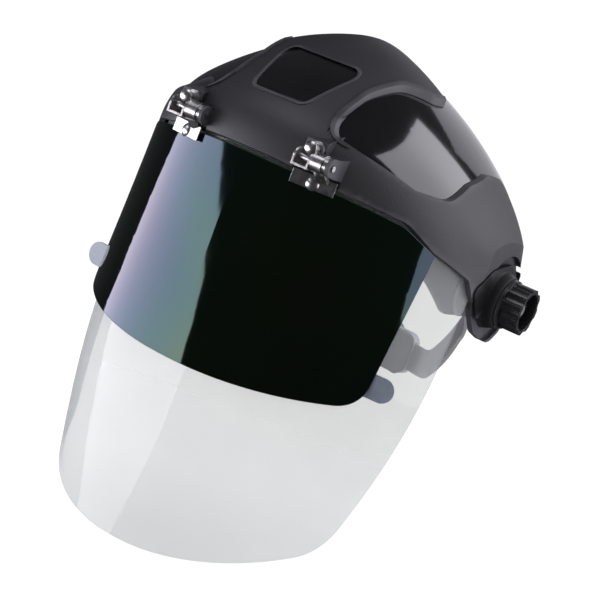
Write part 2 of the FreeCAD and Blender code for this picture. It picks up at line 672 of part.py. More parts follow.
def hinge_screw(side):
    """Round-headed screw that holds the stirrup and its sleeve to the brow, with its nut inside."""
    x_mid = side * HINGE_X + SCREW_SHIFT
    head_y = HINGE_Y - 3.4
    dome = Part.makeSphere(5.2, V(x_mid, head_y + 4.0, SCREW_Z))
    dome = dome.common(cylinder_y(SCREW_HEAD_RADIUS, head_y - 3, head_y, x_mid, SCREW_Z))
    head = cylinder_y(SCREW_HEAD_RADIUS, head_y, head_y + 1.0, x_mid, SCREW_Z)
    shank = cylinder_y(SCREW_SHANK_RADIUS, head_y, nut_front(side) + 2.9, x_mid, SCREW_Z)
    return fuse_all([dome, head, shank])


def hinge_sleeve(side):
    x_mid = side * HINGE_X + SCREW_SHIFT
    back_y = HINGE_Y + STIRRUP_DEPTH - STIRRUP_SHEET - 0.02
    return cylinder_y(SLEEVE_RADIUS, HINGE_Y - 2.35, back_y, x_mid, SCREW_Z).cut(screw_hole(side))


def nut_front(side):
    """Y where the nut just clears the curved inside of the brow."""
    half_width = CROWN_HALF_WIDTH - FRAME_THICKNESS
    edge = abs(side * HINGE_X + SCREW_SHIFT) + NUT_RADIUS
    share = (1.0 - (edge / half_width) ** PLAN_POWER) ** (1.0 / PLAN_POWER)
    return 0.3 - (CROWN_FRONT_REACH - FRAME_THICKNESS) * share


def hinge_nut(side):
    x_mid = side * HINGE_X + SCREW_SHIFT
    corners = []
    for index in range(6):
        angle = math.radians(60 * index)
        corners.append(((x_mid + NUT_RADIUS * math.cos(angle), SCREW_Z + NUT_RADIUS * math.sin(angle)), 0))
    return front_prism(corners, nut_front(side), nut_front(side) + 2.4).cut(screw_hole(side))


# ================================================================ tilt pivots
def tilt_cup(side):
    """Black collar between the ear plate and the tilt knob: teardrop plate and cone."""
    start = EAR_X + 0.1
    plate = side_prism(collar_outline(0.0), COLLAR_X + 0.1, COLLAR_X + 1.9)
    cone = Part.makeCone(17.5, 14.5, KNOB_BASE_X - 0.3 - start, V(start, 0, 0), V(1, 0, 0))
    cup = fuse_all([plate, cone]).cut(cylinder_x(BOLT_RADIUS + FIT, 95, 125))
    return cup if side > 0 else mirrored_x(cup)


def tilt_knob(side):
    """Eight-lobed hollow hand knob with a centre boss."""
    body = cylinder_x(KNOB_RADIUS, KNOB_START_X, KNOB_END_X)
    body = body.cut(cylinder_x(KNOB_RADIUS - 2.6, KNOB_START_X + 2.6, KNOB_END_X + 1))
    for index in range(KNOB_LOBES):
        angle = 2.0 * math.pi * (index + 0.5) / KNOB_LOBES
        radius = KNOB_RADIUS - FLUTE_DEPTH + FLUTE_RADIUS
        y = radius * math.cos(angle)
        z = radius * math.sin(angle)
        flute = cylinder_x(FLUTE_RADIUS, KNOB_START_X - 0.1, KNOB_END_X + 1, y, z)
        body = body.cut(flute)
    boss = cylinder_x(5.4, KNOB_START_X, KNOB_END_X - 4.0)
    flange = cylinder_x(KNOB_RADIUS + 0.8, KNOB_BASE_X, KNOB_START_X)
    knob = fuse_all([body, boss, flange])
    knob = knob.cut(cylinder_x(4.0, KNOB_BASE_X - 1, KNOB_END_X + 1))
    return knob if side > 0 else mirrored_x(knob)


def knob_insert(side):
    """Brass threaded insert moulded into the knob."""
    insert = cylinder_x(4.0, KNOB_BASE_X + 0.2, KNOB_END_X - 4.0)
    insert = insert.cut(cylinder_x(BOLT_RADIUS + FIT, KNOB_BASE_X - 1, KNOB_END_X + 1))
    return insert if side > 0 else mirrored_x(insert)


def pivot_bolt(side):
    """Bolt from the pivot block out through the ear plate into the knob."""
    shank = cylinder_x(BOLT_RADIUS, 88.0, KNOB_END_X - 3.4)
    head = box((85.2, -5, -5), (88.0, 5, 5))
    bolt = fuse_all([shank, head])
    return bolt if side > 0 else mirrored_x(bolt)


def friction_washer(side):
    ring = cylinder_x(16.0, PIVOT_BLOCK_X, EAR_X - EAR_THICKNESS - 0.3)
    ring = ring.cut(cylinder_x(BOLT_RADIUS + FIT, 90, 110))
    return ring if side > 0 else mirrored_x(ring)


def pivot_block(side):
    """Moulded block on the headband that carries the pivot bolt."""
    block = Part.makeCone(17.0, 13.0, PIVOT_BLOCK_X - 85.2, V(85.2, 0, 0), V(1, 0, 0))
    block = block.cut(box((80, -5.05, -5.05), (88.05, 5.05, 5.05)))
    block = block.cut(cylinder_x(BOLT_RADIUS, 80, 110))
    block = block.cut(rivet_shanks(0.05))
    return block if side > 0 else mirrored_x(block)


def rivet_shanks(extra):
    """The two rivet shanks that tie the wearer's left pivot block to the band."""
    shanks = [cylinder_x(1.9 + extra, 80.0, 88.5, y, 0) for y in (-11.5, 11.5)]
    return Part.makeCompound(shanks)


def band_rivets(side):
    """Rivets through the head band, the rear band and the pivot block."""
    rivets = []
    for y in (-11.5, 11.5):
        shank = cylinder_x(1.9, 80.0, 88.2, y, 0)
        head = cylinder_x(3.4, 79.2, 80.0, y, 0)
        rivets.append(fuse_all([shank, head]))
    group = Part.makeCompound(rivets)
    return group if side > 0 else mirrored_x(group)


# ================================================================ headgear
def headband():
    """Front half of the head band, with flat ends that carry the pivot blocks."""
    wall = head_wall(-BAND_THICKNESS, 0.0, -40, 60)
    corners = [((-115, 37), 0), ((-96, 36), 20), ((-44, 28), 30), ((-16, 17.5), 20), ((17, 17), 10),
               ((18, -17), 10), ((-16, -17.5), 16), ((-50, 2), 30), ((-96, 8), 20), ((-115, 9), 0)]
    band = wall.common(side_prism(corners))
    return band.cut([rivet_shanks(0.05), mirrored_x(rivet_shanks(0.05)), strap_rivet_holes()])


def strap_rivet_holes():
    return cylinder_x(STRAP_RIVET_RADIUS + 0.03, -90, 90, 0, STRAP_RIVET_Z)


def strap_rivets():
    """One rivet at each ear that ties the strap over the head to the band."""
    shank = cylinder_x(STRAP_RIVET_RADIUS, 76.6, 84.4, 0, STRAP_RIVET_Z)
    inner_head = cylinder_x(STRAP_RIVET_HEAD, 76.0, 76.9, 0, STRAP_RIVET_Z)
    outer_head = cylinder_x(STRAP_RIVET_HEAD, 83.1, 84.6, 0, STRAP_RIVET_Z)
    rivet = fuse_all([shank, inner_head, outer_head])
    return Part.makeCompound([rivet, mirrored_x(rivet)])


def brow_pad():
    """Soft pad round the inside of the front of the head band."""
    wall = head_wall(-BAND_THICKNESS - 6.3, -BAND_THICKNESS - 0.3, -40, 60)
    corners = [((-115, 39), 0), ((-96, 38), 10), ((-60, 34), 20), ((-34, 24), 9), ((-34, -13), 12),
               ((-62, -3), 20), ((-96, 5), 10), ((-115, 6), 0)]
    return wall.common(side_prism(corners))


def rear_band(side):
    """Strap from the ear down to the nape, ending in the toothed rack of the ratchet."""
    wall = head_wall(0.3, 0.3 + STRAP_THICKNESS, -110, 40)
    low = RATCHET_Z - RACK_HEIGHT
    high = RATCHET_Z + RACK_HEIGHT
    corners = [((2, 9), 6), ((2, -9), 6), ((30, -24), 20), ((56, -36), 20), ((83, low), 7), ((120, low), 0),
               ((120, high), 0), ((84, high), 6), ((60, -12), 18), ((36, 3), 14)]
    strap = wall.common(side_prism(corners)).common(box((RACK_START, -20, -120), (120, 120, 60)))
    strap = strap.cut(rivet_shanks(0.05))
    tip = RATCHET_Z + PITCH_RADIUS - 0.95 * PINION_MODULE
    rack = wall.common(box((-RACK_REACH, 60, tip), (RACK_START + 1.0, 120, high)))
    gaps = [rack_gap(index * math.pi * PINION_MODULE) for index in range(-6, 5)]
    rack = rack.cut(gaps)
    if side > 0:
        return strap.fuse(rack).removeSplitter()
    below = rack.mirror(V(0, 0, RATCHET_Z), V(0, 0, 1))
    return mirrored_x(strap.fuse(below)).removeSplitter()


def rack_gap(x_mid):
    """Tooth gap of the upper rack: narrow at the root, wide at the tips."""
    pitch_line = RATCHET_Z + PITCH_RADIUS
    half_tip = 1.22 * PINION_MODULE
    half_root = 0.42 * PINION_MODULE
    corners = [((x_mid - half_tip, pitch_line - 1.1), 0), ((x_mid + half_tip, pitch_line - 1.1), 0),
               ((x_mid + half_root, pitch_line + 1.2), 0), ((x_mid - half_root, pitch_line + 1.2), 0)]
    return front_prism(corners, 60, 120)


def crown_strap(side):
    """Half of the strap over the head; the two halves overlap and are pinned at the top."""
    offset = 0.0 if side > 0 else -STRAP_THICKNESS - 0.1
    points_out = []
    points_in = []
    count = 12
    for index in range(count + 1):
        angle = math.radians(-9.0 + (90.0 + 9.0 + 9.0) * index / count)
        rise = STRAP_TOP_Z + offset
        points_out.append(V(STRAP_HALF_WIDTH * math.cos(angle), 0, rise * math.sin(angle)))
        points_in.append(V((STRAP_HALF_WIDTH - STRAP_THICKNESS) * math.cos(angle), 0,
                           (rise - STRAP_THICKNESS) * math.sin(angle)))
    outer = Part.BSplineCurve()
    outer.interpolate(points_out)
    inner = Part.BSplineCurve()
    inner.interpolate(points_in)
    edges = [outer.toShape(), Part.makeLine(points_out[-1], points_in[-1]), inner.toShape(),
             Part.makeLine(points_in[0], points_out[0])]
    profile = Part.Face(Part.Wire(Part.__sortEdges__(edges)))
    strap = profile.extrude(V(0, STRAP_WIDTH, 0))
    strap.translate(V(0, -STRAP_WIDTH / 2.0, 0))
    strap = strap.cut([strap_rivet_holes(), Part.makeCylinder(2.05, 20, V(0, 0, STRAP_TOP_Z - 12))])
    return strap if side > 0 else mirrored_x(strap)


def strap_pin():
    """Push-in button that joins the halves of the strap over the head."""
    shank = Part.makeCylinder(2.0, 4.6, V(0, 0, STRAP_TOP_Z - 4.2))
    cap = Part.makeCylinder(4.5, 1.2, V(0, 0, STRAP_TOP_Z + 0.1))
    return fuse_all([shank, cap])


def ratchet_housing():
    """Curved case at the nape: the bands slide through its channel, past the pinion."""
    z = RATCHET_Z
    outline = [((-33, z - 13), 7), ((33, z - 13), 7), ((33, z + 13), 7), ((-33, z + 13), 7)]
    case = head_wall(-1.9, 6.4, -90, -20).common(front_prism(outline, 60, 120))
    half_channel = RACK_HEIGHT + 0.4
    channel = head_wall(0.0, 2.2, -90, -20)
    channel = channel.common(box((-40, 60, z - half_channel), (40, 120, z + half_channel)))
    case = case.cut(channel)
    return case.cut(cylinder_y(3.06, BAND_REAR_Y, 120, 0, z))


def ratchet_pinion():
    """Pinion between the two racks, with the shaft that carries the hand knob."""
    y_low = BAND_REAR_Y + 0.4
    y_high = BAND_REAR_Y + 1.9
    core = cylinder_y(PITCH_RADIUS - 1.25, y_low, y_high, 0, RATCHET_Z)
    teeth = [core]
    for index in range(PINION_TEETH):
        corners = [((-1.05, PITCH_RADIUS - 1.6), 0), ((1.05, PITCH_RADIUS - 1.6), 0),
                   ((0.66, PITCH_RADIUS), 0), ((0.3, PITCH_RADIUS + 0.92), 0),
                   ((-0.3, PITCH_RADIUS + 0.92), 0), ((-0.66, PITCH_RADIUS), 0)]
        tooth = front_prism(corners, y_low, y_high)
        tooth.rotate(V(0, 0, 0), V(0, 1, 0), 360.0 * index / PINION_TEETH)
        tooth.translate(V(0, 0, RATCHET_Z))
        teeth.append(tooth)
    shaft = cylinder_y(3.0, y_low, BAND_REAR_Y + 13.0, 0, RATCHET_Z)
    return fuse_all(teeth + [shaft])


def ratchet_knob():
    """Scalloped hand wheel on the outside of the ratchet."""
    y_low = BAND_REAR_Y + 6.8
    y_high = BAND_REAR_Y + 17.0
    body = cylinder_y(17.0, y_low, y_high, 0, RATCHET_Z)
    for index in range(12):
        angle = 2.0 * math.pi * index / 12
        x = 18.6 * math.cos(angle)
        z = RATCHET_Z + 18.6 * math.sin(angle)
        body = body.cut(cylinder_y(2.6, y_low + 2.0, y_high + 1, x, z))
    body = body.cut(Part.makeCone(9.0, 12.0, 3.2, V(0, y_high - 3.0, RATCHET_Z), V(0, 1, 0)))
    return body.cut(cylinder_y(3.0, y_low - 1, BAND_REAR_Y + 13.0, 0, RATCHET_Z))


def nape_pad():
    z = RATCHET_Z
    outline = [((-36, z - 15), 9), ((36, z - 15), 9), ((36, z + 15), 9), ((-36, z + 15), 9)]
    return head_wall(-8.2, -2.2, -90, -20).common(front_prism(outline, 60, 120))


NODES = {}


def build():
    outer = skin_solid(0.0)
    inner = skin_solid(FRAME_THICKNESS)
    lip_skin = skin_solid(-LIP_HEIGHT)
    NODES["crown_frame"] = crown_frame(outer, inner, lip_skin)
    NODES["crown_dome"] = crown_dome()
    NODES["clear_window"] = clear_window()
    NODES["window_retainer"] = window_retainer()
    NODES["window_studs"] = window_studs()
    NODES["ir_shade"] = ir_shade()
    NODES["headband"] = headband()
    NODES["brow_pad"] = brow_pad()
    NODES["strap_pin"] = strap_pin()
    NODES["strap_rivets"] = strap_rivets()
    NODES["ratchet_housing"] = ratchet_housing()
    NODES["ratchet_pinion"] = ratchet_pinion()
    NODES["ratchet_knob"] = ratchet_knob()
    NODES["nape_pad"] = nape_pad()
    sides = {"left": 1, "right": -1}
    makers = {"lift_tab": lift_tab, "shade_clip": shade_clip, "clip_rivet": clip_rivet,
              "hinge_stirrup": hinge_stirrup, "hinge_pin": hinge_pin, "hinge_washers": hinge_washers,
              "hinge_screw": hinge_screw, "hinge_sleeve": hinge_sleeve, "hinge_nut": hinge_nut,
              "tilt_cup": tilt_cup, "tilt_knob": tilt_knob, "knob_insert": knob_insert,
              "pivot_bolt": pivot_bolt, "friction_washer": friction_washer,
              "pivot_block": pivot_block, "band_rivets": band_rivets,
              "rear_band": rear_band, "crown_strap": crown_strap}
    for name, maker in makers.items():
        for word, side in sides.items():
            NODES[word + "_" + name] = maker(side)


def write():
    os.makedirs("parts", exist_ok=True)
    for name, shape in NODES.items():
        shape.exportStep("parts/" + name + ".step")
        counts = (name, len(shape.Solids), shape.isValid(), shape.Volume)
        print("%-24s solids %d valid %s volume %.0f" % counts)


build()
write()
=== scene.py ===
"""Looks of the face shield: materials, soft pads, flexible bands, studio and camera.

Metres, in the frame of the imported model: +X is the wearer's left, -Y the way the wearer looks.
"""
import json
import math

import bmesh
import bpy
from mathutils import Matrix, Vector


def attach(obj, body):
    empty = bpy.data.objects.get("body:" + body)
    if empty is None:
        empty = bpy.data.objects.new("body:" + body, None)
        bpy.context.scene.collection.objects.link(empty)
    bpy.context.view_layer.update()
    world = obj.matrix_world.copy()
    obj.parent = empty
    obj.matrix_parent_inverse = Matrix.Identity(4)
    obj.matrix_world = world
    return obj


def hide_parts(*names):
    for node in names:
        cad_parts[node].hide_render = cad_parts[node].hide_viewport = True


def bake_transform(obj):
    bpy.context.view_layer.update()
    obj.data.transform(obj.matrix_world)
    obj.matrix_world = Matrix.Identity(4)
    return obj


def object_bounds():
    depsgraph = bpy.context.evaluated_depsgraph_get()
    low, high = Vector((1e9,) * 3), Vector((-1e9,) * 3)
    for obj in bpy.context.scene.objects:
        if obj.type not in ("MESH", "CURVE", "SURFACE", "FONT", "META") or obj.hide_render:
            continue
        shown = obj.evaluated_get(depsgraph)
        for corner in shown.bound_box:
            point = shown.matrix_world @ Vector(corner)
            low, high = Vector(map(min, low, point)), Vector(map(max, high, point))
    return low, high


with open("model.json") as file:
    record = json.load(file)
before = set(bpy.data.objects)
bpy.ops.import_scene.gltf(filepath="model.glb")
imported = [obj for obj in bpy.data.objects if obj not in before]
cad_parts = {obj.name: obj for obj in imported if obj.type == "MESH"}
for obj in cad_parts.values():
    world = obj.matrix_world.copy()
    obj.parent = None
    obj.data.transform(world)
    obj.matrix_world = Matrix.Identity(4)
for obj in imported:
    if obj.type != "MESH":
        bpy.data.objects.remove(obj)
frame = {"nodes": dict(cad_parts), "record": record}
cad_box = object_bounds()
NODES = frame["nodes"]

# ---------------------------------------------------------------- driving values
CAMERA_TURN = math.radians(26.0)      # towards the wearer's left of straight ahead
CAMERA_RISE = math.radians(7.5)
CAMERA_ROLL = math.radians(21.45)
CAMERA_DISTANCE = 0.954
CAMERA_LENS = 102.8                   # millimetres on a 36 mm sensor
CAMERA_AIM = (-0.0254, -0.0367)       # sideways and upwards from the origin, in the picture plane
LIGHT_TARGET = Vector((0.0, -0.04, -0.03))
FLOOR_REACH = 1.1                     # radius of the floor sheet
FLOOR_GAP = 0.03                      # from the lowest point of the shield down to the floor
MOULDING_EDGE = 0.0006                # rounding of moulded edges, in the shading only
SHEET_EDGE = 0.0004
METAL_EDGE = 0.00035
SHEET_IOR = 1.5
# painted shade: black of the shaded recess round each tilt axis
POCKET_PAINTED_SHADE = (0.004, 0.004, 0.0045, 1.0)
PAD_CLOSE_VOXEL = 0.0016
PAD_CLOTH_VOXEL = 0.0026
PAD_SHRINK = 0.0009                   # room left for the pad to swell
PAD_PRESSURE = 3.0
PAD_SWELL = 0.0013                    # the furthest any point of a pad may move
PAD_FRAMES = 20


def make_camera():
    towards = Vector((math.sin(CAMERA_TURN) * math.cos(CAMERA_RISE),
                      -math.cos(CAMERA_TURN) * math.cos(CAMERA_RISE), math.sin(CAMERA_RISE)))
    level = Vector((math.cos(CAMERA_TURN), math.sin(CAMERA_TURN), 0.0))
    upright = towards.cross(level)
    right = level * math.cos(CAMERA_ROLL) + upright * math.sin(CAMERA_ROLL)
    up = upright * math.cos(CAMERA_ROLL) - level * math.sin(CAMERA_ROLL)
    place = right * CAMERA_AIM[0] + up * CAMERA_AIM[1] + towards * CAMERA_DISTANCE
    camera = bpy.data.objects.new("camera", bpy.data.cameras.new("camera"))
    camera.data.lens = CAMERA_LENS
    camera.data.sensor_width = 36.0
    camera.matrix_world = Matrix.Translation(place) @ Matrix((right, up, towards)).transposed().to_4x4()
    bpy.context.scene.collection.objects.link(camera)
    bpy.context.scene.camera = camera


# ---------------------------------------------------------------- material helpers
class Builder:
    """Small helper that adds nodes to one material and links them."""

    def __init__(self, name):
        self.material = bpy.data.materials.new(name)
        self.material.use_nodes = True
        self.tree = self.material.node_tree
        self.tree.nodes.clear()
        self.output = self.add("ShaderNodeOutputMaterial")
        self.place = self.add("ShaderNodeTexCoord").outputs["Object"]

    def add(self, kind, settings=None, **inputs):
        node = self.tree.nodes.new(kind)
        for key, value in (settings or {}).items():
            setattr(node, key, value)
        for key, value in inputs.items():
            self.feed(node.inputs[key.replace("_", " ")], value)
        return node

    def feed(self, socket, value):
        if isinstance(value, bpy.types.NodeSocket):
            self.tree.links.new(value, socket)
        else:
            socket.default_value = value

    def noise(self, scale, detail=3.0, roughness=0.55):
        node = self.add("ShaderNodeTexNoise", None, Scale=scale, Detail=detail, Roughness=roughness)
        self.feed(node.inputs["Vector"], self.place)
        return node.outputs["Fac"]

    def ramp(self, factor, stops):
        node = self.add("ShaderNodeValToRGB", None, Fac=factor)
        elements = node.color_ramp.elements
        while len(elements) < len(stops):
            elements.new(0.5)
        for element, (position, colour) in zip(elements, stops):
            element.position = position
            element.color = tuple(colour) + (1.0,)
        return node.outputs["Color"]

    def between(self, factor, low, high):
        node = self.add("ShaderNodeMapRange", None, Value=factor)
        node.inputs["To Min"].default_value = low
        node.inputs["To Max"].default_value = high
        return node.outputs["Result"]

    def math(self, operation, first, second):
        node = self.add("ShaderNodeMath", {"operation": operation})
        self.feed(node.inputs[0], first)
        self.feed(node.inputs[1], second)
        return node.outputs[0]

    def scaled(self, value, factor, offset, clamp=False):
        node = self.add("ShaderNodeMath", {"operation": "MULTIPLY_ADD", "use_clamp": clamp})
        self.feed(node.inputs[0], value)
        self.feed(node.inputs[1], factor)
        self.feed(node.inputs[2], offset)
        return node.outputs[0]

    def mixed(self, factor, first, second):
        node = self.add("ShaderNodeMix", {"data_type": "RGBA"})
        self.feed(node.inputs[0], factor)
        self.feed(node.inputs[6], first)
        self.feed(node.inputs[7], second)
        return node.outputs[2]

    def rounded_edges(self, radius):
        return self.add("ShaderNodeBevel", {"samples": 4}, Radius=radius).outputs["Normal"]

    def bump(self, height, strength, distance, normal=None):
        node = self.add("ShaderNodeBump", None, Height=height, Strength=strength, Distance=distance)
        if normal is not None:
            self.feed(node.inputs["Normal"], normal)
        return node.outputs["Normal"]

    def blended(self, factor, first, second):
        node = self.add("ShaderNodeMixShader")
        self.feed(node.inputs[0], factor)
        self.feed(node.inputs[1], first)
        self.feed(node.inputs[2], second)
        return node.outputs[0]

    def distance_of(self, vector):
        node = self.add("ShaderNodeVectorMath", {"operation": "LENGTH"})
        self.feed(node.inputs[0], vector)
        return node.outputs["Value"]

    def finish(self, shader):
        self.feed(self.output.inputs["Surface"], shader)
        return self.material


def rgba(red, green, blue):
    return (red, green, blue, 1.0)


def grey(level):
    return (level, level, level)


# ---------------------------------------------------------------- materials
def ear_recess_painted_shade(b, radius, depth, foot):
    """Mask of the painted shade in the ear recess: 1 within radius of the tilt axis, nearer the head than
    depth and above foot.
    """
    axes = b.add("ShaderNodeSeparateXYZ")
    b.feed(axes.inputs[0], b.place)
    flat = b.add("ShaderNodeCombineXYZ", None, Y=axes.outputs["Y"], Z=axes.outputs["Z"])
    across = b.math("ABSOLUTE", axes.outputs["X"], 0.0)
    near = b.math("LESS_THAN", b.distance_of(flat.outputs[0]), radius)
    deep = b.math("LESS_THAN", across, depth)
    above = b.math("GREATER_THAN", axes.outputs["Z"], foot)
    return b.math("MULTIPLY", b.math("MULTIPLY", near, deep), above)


def moulded_plastic(name, dark, light, roughness, grain, specular=0.5, painted_shade_pocket=None):
    """Matt or satin moulding: fine spark-eroded grain, slow colour change and rubbed edges.

    A pocket (radius, depth, foot) is painted black round each tilt axis, as painted shade in the recess.
    """
    b = Builder(name)
    slow = b.noise(14.0, 4.0)
    fine = b.noise(1400.0, 2.0)
    cloud = b.ramp(slow, [(0.32, dark), (0.68, light)])
    speck = b.ramp(fine, [(0.38, [value * 0.86 for value in dark]), (0.62, light)])
    colour = b.mixed(0.35, cloud, speck)
    rubbed = b.add("ShaderNodeNewGeometry").outputs["Pointiness"]
    worn = b.ramp(rubbed, [(0.53, grey(0.0)), (0.60, grey(1.0))])
    colour = b.mixed(worn, colour, rgba(*[min(1.0, value * 1.5 + 0.01) for value in light]))
    if painted_shade_pocket is not None:
        # painted shade: the recess round each tilt axis is painted black
        colour = b.mixed(ear_recess_painted_shade(b, *painted_shade_pocket), colour, POCKET_PAINTED_SHADE)
    normal = b.bump(fine, grain, 0.0002, b.rounded_edges(MOULDING_EDGE))
    shader = b.add("ShaderNodeBsdfPrincipled", None, Base_Color=colour, Normal=normal)
    b.feed(shader.inputs["Roughness"], b.between(slow, roughness - 0.06, roughness + 0.08))
    shader.inputs["Specular IOR Level"].default_value = specular
    return b.finish(shader.outputs["BSDF"])


def gloss_plastic(name, base, roughness, coat):
    """Polished moulding: faint swirls of handling in the gloss, slight ripple of the moulding."""
    b = Builder(name)
    smear = b.noise(38.0, 5.0, 0.6)
    ripple = b.noise(9.0, 2.0)
    scratch = b.add("ShaderNodeTexWave", {"wave_type": "RINGS"}, Scale=55.0, Distortion=9.0, Detail=3.0)
    b.feed(scratch.inputs["Vector"], b.place)
    colour = b.ramp(smear, [(0.35, base), (0.7, [value * 1.25 + 0.001 for value in base])])
    height = b.scaled(scratch.outputs["Fac"], 0.015, ripple)
    normal = b.bump(height, 0.12, 0.0008, b.rounded_edges(SHEET_EDGE))
    shader = b.add("ShaderNodeBsdfPrincipled", None, Base_Color=colour, Normal=normal)
    b.feed(shader.inputs["Roughness"], b.between(smear, roughness * 0.7, roughness * 1.5))
    shader.inputs["Coat Weight"].default_value = coat
    shader.inputs["Coat Roughness"].default_value = 0.04
    return b.finish(shader.outputs["BSDF"])


def clear_sheet(name):
    """Clear polycarbonate: lets light straight through, mirrors softly at a slant, faint haze."""
    b = Builder(name)
    haze = b.noise(26.0, 4.0)
    hairline = b.noise(900.0, 1.0)
    tint = b.ramp(haze, [(0.3, (0.79, 0.795, 0.79)), (0.7, (0.81, 0.815, 0.81))])
    through = b.add("ShaderNodeBsdfTransparent", None, Color=tint)
    normal = b.bump(hairline, 0.02, 0.0001)
    mirror = b.add("ShaderNodeBsdfPrincipled", None, Base_Color=rgba(0.62, 0.64, 0.65), Normal=normal)
    b.feed(mirror.inputs["Roughness"], b.between(haze, 0.03, 0.07))
    mirror.inputs["Specular IOR Level"].default_value = 1.0
    back = b.add("ShaderNodeNewGeometry").outputs["Backfacing"]
    slant = b.add("ShaderNodeFresnel", None, IOR=b.between(back, SHEET_IOR, 1.0 / SHEET_IOR))
    share = b.scaled(slant.outputs[0], 0.7, 0.07, clamp=True)
    return b.finish(b.blended(share, through.outputs[0], mirror.outputs[0]))


def dark_sheet(name):
    """Very dark green sheet with a thin coating that shows faint colours in its reflections."""
    b = Builder(name)
    flow = b.noise(7.0, 3.0)
    film = b.add("ShaderNodeTexNoise", None, Scale=4.5, Detail=2.0, Distortion=1.2)
    b.feed(film.inputs["Vector"], b.place)
    colour = b.ramp(flow, [(0.3, (0.0006, 0.0012, 0.0006)), (0.7, (0.001, 0.0022, 0.001))])
    shader = b.add("ShaderNodeBsdfPrincipled", None, Base_Color=colour)
    b.feed(shader.inputs["Roughness"], b.between(flow, 0.035, 0.06))
    b.feed(shader.inputs["Normal"], b.rounded_edges(SHEET_EDGE))
    shader.inputs["IOR"].default_value = SHEET_IOR
    b.feed(shader.inputs["Thin Film Thickness"], b.between(film.outputs["Fac"], 300.0, 440.0))
    shader.inputs["Thin Film IOR"].default_value = 1.44
    return b.finish(shader.outputs["BSDF"])


def smooth_tab(name):
    """Smooth grey-blue plastic of the two lift tabs."""
    b = Builder(name)
    cloud = b.noise(60.0, 3.0)
    colour = b.ramp(cloud, [(0.3, (0.10, 0.115, 0.15)), (0.7, (0.135, 0.15, 0.19))])
    shader = b.add("ShaderNodeBsdfPrincipled", None, Base_Color=colour)
    b.feed(shader.inputs["Normal"], b.bump(cloud, 0.05, 0.0004, b.rounded_edges(SHEET_EDGE)))
    b.feed(shader.inputs["Roughness"], b.between(cloud, 0.22, 0.34))
    return b.finish(shader.outputs["BSDF"])


def plated_metal(name, light, dark, roughness):
    """Plated metal with fine brushing, slight tarnish and softened edges."""
    b = Builder(name)
    tarnish = b.noise(240.0, 4.0)
    brush = b.add("ShaderNodeTexWave", {"bands_direction": "Z"}, Scale=900.0, Distortion=4.0, Detail=2.0)
    b.feed(brush.inputs["Vector"], b.place)
    colour = b.ramp(tarnish, [(0.28, dark), (0.62, light)])
    shader = b.add("ShaderNodeBsdfPrincipled", None, Base_Color=colour, Metallic=1.0)
    b.feed(shader.inputs["Roughness"], b.between(tarnish, roughness * 0.7, roughness * 1.7))
    b.feed(shader.inputs["Normal"], b.bump(brush.outputs["Fac"], 0.05, 0.0001, b.rounded_edges(METAL_EDGE)))
    return b.finish(shader.outputs["BSDF"])


def pad_fabric(name):
    """Black knitted face of the foam pads: small woven cells with a slight sheen."""
    b = Builder(name)
    cells = b.add("ShaderNodeTexVoronoi", {"feature": "F1"}, Scale=620.0)
    b.feed(cells.inputs["Vector"], b.place)
    cloud = b.noise(50.0, 4.0)
    lint = b.noise(2600.0, 2.0)
    thread = b.ramp(cells.outputs["Distance"], [(0.1, (0.032, 0.032, 0.036)), (0.7, (0.006, 0.006, 0.007))])
    colour = b.mixed(b.between(cloud, 0.0, 0.5), thread, rgba(0.02, 0.02, 0.022))
    colour = b.mixed(b.between(lint, 0.0, 0.22), colour, rgba(0.05, 0.05, 0.055))
    shader = b.add("ShaderNodeBsdfPrincipled", None, Base_Color=colour)
    b.feed(shader.inputs["Roughness"], b.between(cloud, 0.78, 0.95))
    b.feed(shader.inputs["Normal"], b.bump(cells.outputs["Distance"], 0.5, 0.0003))
    shader.inputs["Sheen Weight"].default_value = 0.25
    shader.inputs["Sheen Roughness"].default_value = 0.5
    return b.finish(shader.outputs["BSDF"])


def make_materials():
    return {
        # crown frame carries painted shade: black in the recess round each tilt axis
        "crown_plastic": moulded_plastic("crown_plastic", (0.0135, 0.0135, 0.0165), (0.0185, 0.0185, 0.0225),
                                         0.5, 0.5, painted_shade_pocket=(0.022, 0.1023, -0.0135)),
        "dome_plastic": gloss_plastic("dome_plastic", (0.0035, 0.0035, 0.004), 0.1, 0.6),
        "window_sheet": clear_sheet("window_sheet"),
        "shade_sheet": dark_sheet("shade_sheet"),
        "black_plastic": moulded_plastic("black_plastic", (0.004, 0.004, 0.005), (0.007, 0.007, 0.008),
                                         0.34, 0.25, specular=0.3),
        "knob_plastic": moulded_plastic("knob_plastic", (0.005, 0.005, 0.006), (0.008, 0.008, 0.009),
                                        0.22, 0.1),
        "headgear_plastic": moulded_plastic("headgear_plastic", (0.13, 0.13, 0.14), (0.17, 0.17, 0.18),
                                            0.42, 0.3),
        "tab_plastic": smooth_tab("tab_plastic"),
        "pad_foam": pad_fabric("pad_foam"),
        "bright_steel": plated_metal("bright_steel", (0.66, 0.65, 0.64), (0.4, 0.39, 0.38), 0.26),
        "bolt_steel": plated_metal("bolt_steel", (0.45, 0.45, 0.47), (0.28, 0.28, 0.3), 0.3),
        "brass": plated_metal("brass", (0.72, 0.52, 0.24), (0.45, 0.3, 0.12), 0.22),
    }


def paint(piece, material):
    piece.data.materials.clear()
    piece.data.materials.append(material)


def paint_nodes(materials):
    """Gives every carried-over node the material of its slot, keeping its mesh."""
    slots = {entry["node"]: entry["material_slot"] for entry in frame["record"]["subparts"]}
    for name, piece in NODES.items():
        for holder in piece.material_slots:
            holder.material = materials[slots[name]]


# ---------------------------------------------------------------- soft pads
def copied_node(name, new_name):
    """A new loose piece with the same surface as a node, its corners merged."""
    piece = bpy.data.objects.new(new_name, NODES[name].data.copy())
    bpy.context.scene.collection.objects.link(piece)
    mesh = bmesh.new()
    mesh.from_mesh(piece.data)
    bmesh.ops.remove_doubles(mesh, verts=mesh.verts, dist=0.00001)
    mesh.to_mesh(piece.data)
    mesh.free()
    return piece


